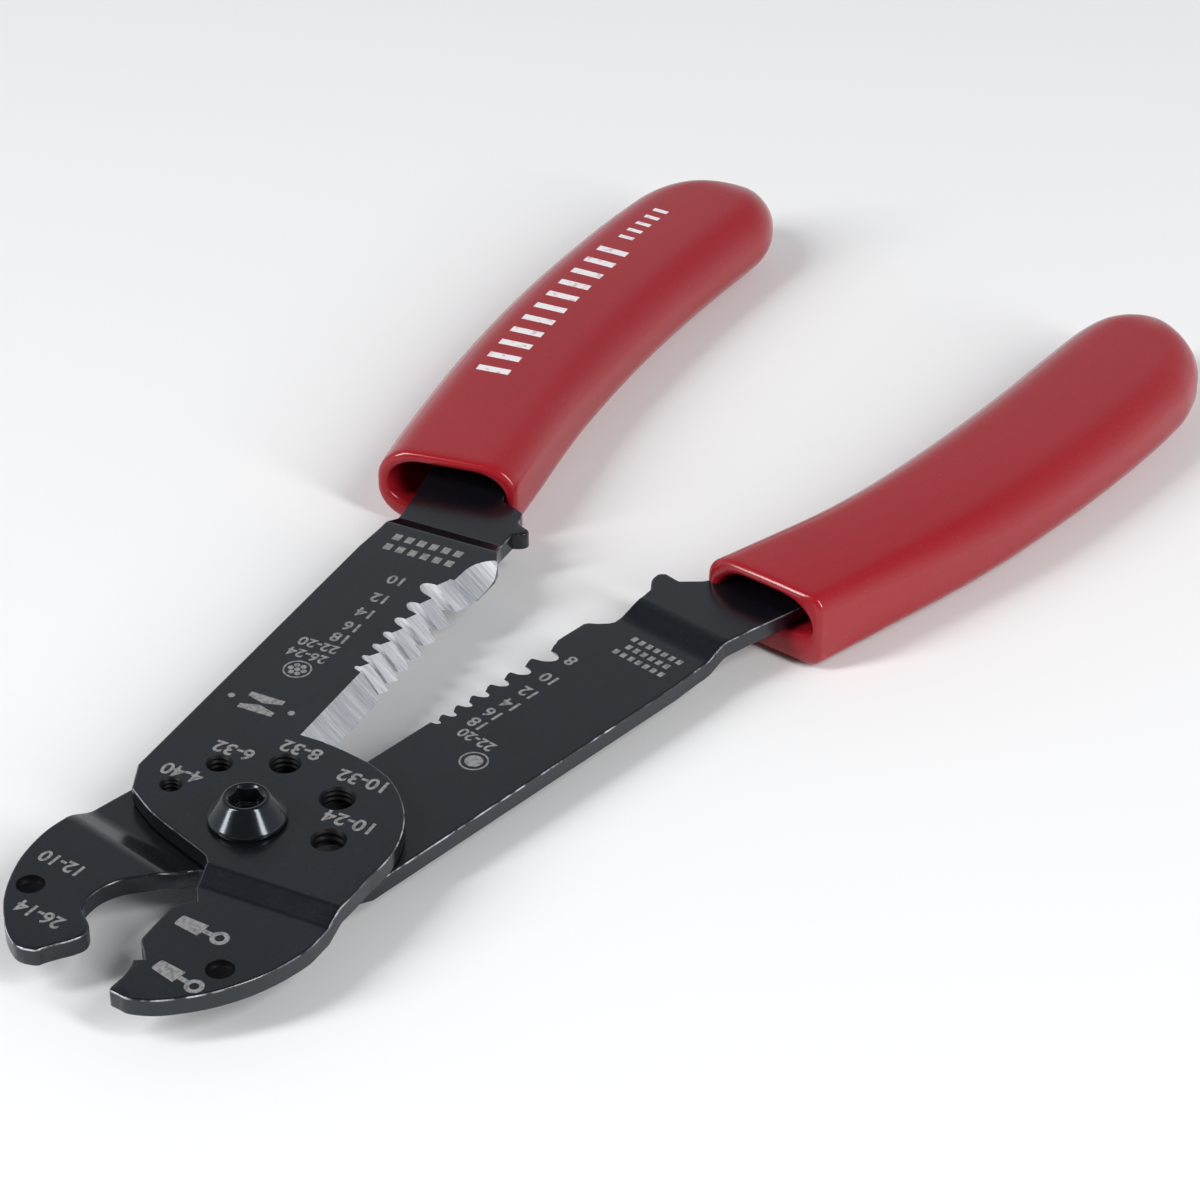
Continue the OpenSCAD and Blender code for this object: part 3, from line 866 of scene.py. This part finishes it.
# corner radii along each grip: outer side (across, up), inner side (across, up)
grip_u = build_grip("upper_grip_vinyl", True, 81.8, (([5.0, 5.0, 5.2, 5.4, 5.6, 5.6], [5.2, 5.2, 5.2, 5.3, 5.4, 5.4]),
                                                     ([5.2, 4.6, 4.4, 5.0, 5.6, 5.6], [4.2, 3.9, 4.0, 4.8, 5.3, 5.4])),
                    (A_OUTER, A_INNER, A_END), ([5.2, 3.9], [5.2, 3.9]), 0.0, 0.75)
grip_l = build_grip("lower_grip_vinyl", False, 81.95, (([2.3, 2.4, 2.9, 3.8, 4.8, 5.4], [2.2, 2.3, 2.8, 3.7, 4.6, 5.2]),
                                                      ([3.6, 3.7, 4.2, 5.0, 5.4, 5.6], [3.4, 3.6, 4.0, 4.8, 5.2, 5.4])),
                    (B_OUTER, B_INNER, B_END), ([6.0, 4.1], [5.2, 4.0]), -0.225, 0.33)


# ------------------------------------------------------------------ marks
def text_mesh(s, cap, bold=0.022):
    cu = bpy.data.curves.new("t", "FONT")
    cu.offset = bold
    cu.body = s
    cu.size = 1.0
    cu.align_x = "CENTER"
    cu.extrude = 0.01
    cu.resolution_u = 3
    o = bpy.data.objects.new("t", cu)
    scene.collection.objects.link(o)
    dg = bpy.context.evaluated_depsgraph_get()
    me = bpy.data.meshes.new_from_object(o.evaluated_get(dg))
    bpy.data.objects.remove(o)
    bpy.data.curves.remove(cu)
    v = np.array([q.co for q in me.vertices])
    f = [list(p.vertices) for p in me.polygons]
    bpy.data.meshes.remove(me)
    y0, y1 = v[:, 1].min(), v[:, 1].max()
    x0, x1 = v[:, 0].min(), v[:, 0].max()
    k = cap / (y1 - y0)
    v[:, 0] = (v[:, 0] - (x0 + x1) / 2) * k
    v[:, 1] = (v[:, 1] - (y0 + y1) / 2) * k
    return v, f


THIN = 0.014


def flat_poly(P, thick=THIN):
    """Thin closed plate from outline points, as (verts, faces)."""
    n = len(P)
    v = [(x, y, -1) for x, y in P] + [(x, y, 1) for x, y in P]
    return np.array(v, float), [list(range(n))[::-1], list(range(n, 2 * n))] + [[i, (i + 1) % n, n + (i + 1) % n, n + i] for i in range(n)]


def ring_poly(cx, cy, r0, r1, seg=28):
    v, f = [], []
    for z in (-1, 1):
        for r in (r0, r1):
            v += [(cx + r * math.cos(2 * math.pi * i / seg), cy + r * math.sin(2 * math.pi * i / seg), z) for i in range(seg)]
    for i in range(seg):
        j = (i + 1) % seg
        f += [[i, j, seg + j, seg + i][::-1], [2 * seg + i, 2 * seg + j, 3 * seg + j, 3 * seg + i],
              [seg + i, seg + j, 3 * seg + j, 3 * seg + i], [i, j, 2 * seg + j, 2 * seg + i][::-1]]
    return np.array(v, float), f


class Marks:
    def __init__(self):
        self.v, self.f = [], []

    def add(self, v, f, x, y, z, turn=math.pi / 2, pre=0.0):
        """Local (u, v) to plan: turned so the line runs along +Y with its tops towards -X, then placed."""
        c, s = math.cos(turn), math.sin(turn)
        base = len(self.v)
        for q in v:
            px, py = x + q[0] * c - q[1] * s, y + q[0] * s + q[1] * c
            pz = z + (THIN if q[2] > 0 else -0.02)
            c2, s2 = math.cos(pre), math.sin(pre)
            self.v.append((px * c2 - py * s2, px * s2 + py * c2, pz + MID))
        self.f += [[i + base for i in face] for face in f]

    def text(self, s, cap, x, y, z, **kw):
        v, f = text_mesh(s, cap)
        self.add(v, f, x, y, z, **kw)

    def make(self, name, mat):
        o = mesh_object(name, self.v, self.f, [mat])
        o.data.transform(Matrix.Scale(0.001, 4))
        return o


def disc(r, seg=24):
    return flat_poly([(r * math.cos(2 * math.pi * i / seg), r * math.sin(2 * math.pi * i / seg)) for i in range(seg)])


def rect(w, h):
    return flat_poly([(-w / 2, -h / 2), (w / 2, -h / 2), (w / 2, h / 2), (-w / 2, h / 2)])


zu = G2 + T          # top of the upper lever's arm
zl = -G2             # top of the lower lever's arm
zj = T / 2           # top of both jaws
zt = T / 2           # top of both tangs

mu = Marks()
for s, x, y in (("10", 55.5, 9.7), ("12", 50.6, 9.6), ("14", 46.6, 9.6), ("16", 42.9, 9.6), ("18", 39.9, 9.7), ("22-20", 37.1, 11.3), ("26-24", 34.4, 11.5)):
    mu.text(s, 2.15 if "-" not in s else 1.95, x, y, zu, pre=OPEN)
# stranded wire sign: seven small dots in a ring
for i in range(7):
    a = math.radians(60 * i)
    mu.add(*disc(0.42), 31.0 + (0.98 * math.sin(a) if i < 6 else 0), 11.0 + (0.98 * math.cos(a) if i < 6 else 0), zu, pre=OPEN)
mu.add(*ring_poly(0, 0, 1.75, 2.0), 31.0, 11.0, zu, pre=OPEN)
# cut sign: two facing wedges with a wire between them
mu.add(*flat_poly([(-2.6, 1.0), (0.0, 0.25), (2.6, 1.0), (2.6, 1.9), (-2.6, 1.9)]), 22.0, 11.2, zu, pre=OPEN)
mu.add(*flat_poly([(-2.6, -1.9), (2.6, -1.9), (2.6, -1.0), (0.0, -0.25), (-2.6, -1.0)]), 22.0, 11.2, zu, pre=OPEN)
mu.add(*disc(0.5), 22.0, 6.6, zu, pre=OPEN)
mu.add(*disc(0.5), 22.0, 15.8, zu, pre=OPEN)
# screw size labels beside the holes (rest position)
for s, x, y in (("4-40", 2.75, 13.0), ("6-32", 10.2, 10.6), ("8-32", 15.2, 3.4), ("10-32", 14.4, -7.1), ("10-24", 6.6, -10.9)):
    mu.text(s, 2.45, x, y, zu, turn=math.pi / 2 + OPEN)
# insulated terminal signs on the jaw: a ring tongue with its sleeve
for x, y, a in ((-19.1, -8.4, 0.0), (-27.5, -11.6, math.radians(-6))):
    v, f = ring_poly(-2.6, 0, 0.62, 1.25)
    mu.add(v, f, x, y, zj, turn=math.pi / 2 + a)
    v, f = rect(1.4, 0.7)
    v[:, 0] -= 0.75
    mu.add(v, f, x, y, zj, turn=math.pi / 2 + a)
    v, f = flat_poly([(0, -1.15), (3.7, -0.95), (3.9, -0.7), (3.9, 0.7), (3.7, 0.95), (0, 1.15)])
    mu.add(v, f, x, y, zj, turn=math.pi / 2 + a)
# plain tick rows where the tool carries lettering
for x, n in ((62.5, 6), (65.2, 6)):
    for i in range(n):
        mu.add(*rect(1.15, 1.5), x, 9.9 + 1.95 * (i - (n - 1) / 2), zu, pre=OPEN)
marks_u = mu.make("upper_marks", M_MARK)

ml = Marks()
for s, x, y in (("8", 55.8, -4.3), ("10", 50.7, -4.8), ("12", 46.5, -4.9), ("14", 42.9, -5.0), ("16", 39.8, -4.7), ("18", 36.9, -4.7), ("22-20", 34.2, -7.2)):
    ml.text(s, 2.15 if "-" not in s else 1.95, x, y, zl, pre=-OPEN)
# solid wire sign
ml.add(*disc(1.25), 30.6, -10.2, zl, pre=-OPEN)
ml.add(*ring_poly(0, 0, 1.75, 2.0), 30.6, -10.2, zl, pre=-OPEN)
ml.text("12-10", 2.25, -18.85, 14.8, zj)
ml.text("26-14", 2.35, -28.0, 10.2, zj)
for x, n in ((61.6, 7), (63.5, 6), (65.4, 7)):
    for i in range(n):
        ml.add(*rect(0.8, 1.05), x, -11.4 + 1.35 * (i - (n - 1) / 2), zl, pre=-OPEN)
marks_l = ml.make("lower_marks", M_MARK)

# plain white bars printed along the upper grip
mp = Marks()
a_mid, a_wide = grip_lines(A_OUTER, A_INNER)
cyf = spline(a_mid)


def on_grip(o, lift=0.02):
    """Lays a flat print on the crowned top of the grip."""
    wdf = spline(a_wide)
    for v in o.data.vertices:
        q = Matrix.Rotation(-OPEN, 3, "Z") @ (v.co * 1000)
        a = wdf(q.x) / 2
        u = (q.y - cyf(q.x))
        z = 6.0 - 0.35 * (u / a) ** 2
        v.co.z = (MID + z + (lift if v.co.z > 0.012 else -0.03)) * 0.001


for i in range(11):
    x = 107.5 + 4.1 * i
    y = cyf(x) + 2.6
    sl = (cyf(x + 0.5) - cyf(x - 0.5))
    w, h = 1.5, 5.2
    mp.add(*rect(w, h), x, y, 6.0, turn=math.atan(sl), pre=OPEN)
for i in range(5):
    x = 153.6 + 2.6 * i
    mp.add(*rect(0.9, 2.6), x, cyf(x) + 2.6 + 0.4, 6.0, turn=math.atan(cyf(x + 0.5) - cyf(x - 0.5)), pre=OPEN)
print_u = mp.make("upper_grip_print", M_PRINT)
on_grip(print_u)

# ------------------------------------------------------------------ riding and replacing
for o, body, slot, rep in ((upper, "upper", "black_steel", "upper_lever"), (lower, "lower", "black_steel", "lower_lever"),
                           (grip_u, "upper", "red_vinyl", "upper_grip"), (grip_l, "lower", "red_vinyl", "lower_grip"),
                           (screw, "lower", "screw_steel", "pivot_screw"), (nut, "lower", "screw_steel", "pivot_nut"),
                           (marks_u, "upper", "black_steel", None), (marks_l, "lower", "black_steel", None),
                           (print_u, "upper", "red_vinyl", None)):
    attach(o, body)
    if rep:
        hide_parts(rep)

# ------------------------------------------------------------------ floor, light, camera
fl = mesh_object("floor", [(-4, -4, -0.0004), (4, -4, -0.0004), (4, 4, -0.0004), (-4, 4, -0.0004)], [(0, 1, 2, 3)])
fm, nt, b = material("floor_pale")
tone = noise(nt, coords(nt), 6.0, 3.0, 0.5)
nt.links.new(mix(nt, tone, (0.86, 0.86, 0.86), (0.88, 0.88, 0.88)), b.inputs["Base Color"])
b.inputs["Roughness"].default_value = 0.8
b.inputs["Specular IOR Level"].default_value = 0.1
fl.data.materials.append(fm)

cam_loc = Vector((-0.273369, -0.240463, 0.287469))
fwd = Vector((0.6833, 0.4663, -0.5618)).normalized()
cd = bpy.data.cameras.new("camera")
cd.sensor_width = 36.0
cd.lens = 108.19
cd.clip_start, cd.clip_end = 0.01, 20.0
cam = bpy.data.objects.new("camera", cd)
scene.collection.objects.link(cam)
cam.location = cam_loc
cam.rotation_mode = "QUATERNION"
cam.rotation_quaternion = fwd.to_track_quat("-Z", "Y")
scene.camera = cam

world = bpy.data.worlds.new("studio")
scene.world = world
world.use_nodes = True
wn = world.node_tree
wn.nodes.clear()
wo = wn.nodes.new("ShaderNodeOutputWorld")
bg = wn.nodes.new("ShaderNodeBackground")
tc = wn.nodes.new("ShaderNodeTexCoord")
sx = wn.nodes.new("ShaderNodeSeparateXYZ")
wn.links.new(tc.outputs["Generated"], sx.inputs[0])
rp = wn.nodes.new("ShaderNodeValToRGB")
els = rp.color_ramp.elements
for p, c in ((0.0, 0.92), (0.45, 0.80), (0.58, 0.62), (0.72, 0.40), (0.83, 0.10), (1.0, 0.05)):
    e = els[0] if p == 0.0 else (els[1] if p == 1.0 else els.new(p))
    e.position = p
    e.color = (c * 0.97, c, c * 1.05, 1)
wn.links.new(sx.outputs[2], rp.inputs[0])
# the front of the room is dim: a soft fall-off towards -X -Y
fd = wn.nodes.new("ShaderNodeVectorMath")
fd.operation = "DOT_PRODUCT"
fd.inputs[1].default_value = (-0.826, -0.564, 0.0)
wn.links.new(tc.outputs["Generated"], fd.inputs[0])
fr = wn.nodes.new("ShaderNodeValToRGB")
fe = fr.color_ramp.elements
for e, (p, c) in zip(fe, ((0.30, 1.0), (0.62, 0.22))):
    e.position = p
    e.color = (c, c, c, 1)
wn.links.new(fd.outputs["Value"], fr.inputs[0])
mu_ = wn.nodes.new("ShaderNodeVectorMath")
mu_.operation = "MULTIPLY"
wn.links.new(rp.outputs[0], mu_.inputs[0])
wn.links.new(fr.outputs[0], mu_.inputs[1])
wn.links.new(mu_.outputs[0], bg.inputs[0])
bg.inputs[1].default_value = 1.0
wn.links.new(bg.outputs[0], wo.inputs[0])


def area(name, loc, target, size, energy, size_y=None):
    ld = bpy.data.lights.new(name, "AREA")
    ld.shape = "RECTANGLE"
    ld.size = size
    ld.size_y = size_y or size
    ld.energy = energy
    o = bpy.data.objects.new(name, ld)
    scene.collection.objects.link(o)
    o.location = loc
    o.rotation_mode = "QUATERNION"
    o.rotation_quaternion = (Vector(target) - Vector(loc)).to_track_quat("-Z", "Y")
    return o


mid = Vector((0.07, 0.0, 0.0))
area("soft_left", (-0.75, 0.55, 0.75), mid, 0.24, 11.5, 0.9)
area("soft_right", (-0.05, -1.0, 0.70), mid, 0.24, 11.5, 0.9)

scene.view_settings.view_transform = "Standard"
scene.view_settings.look = "None"
scene.view_settings.exposure = 0.0
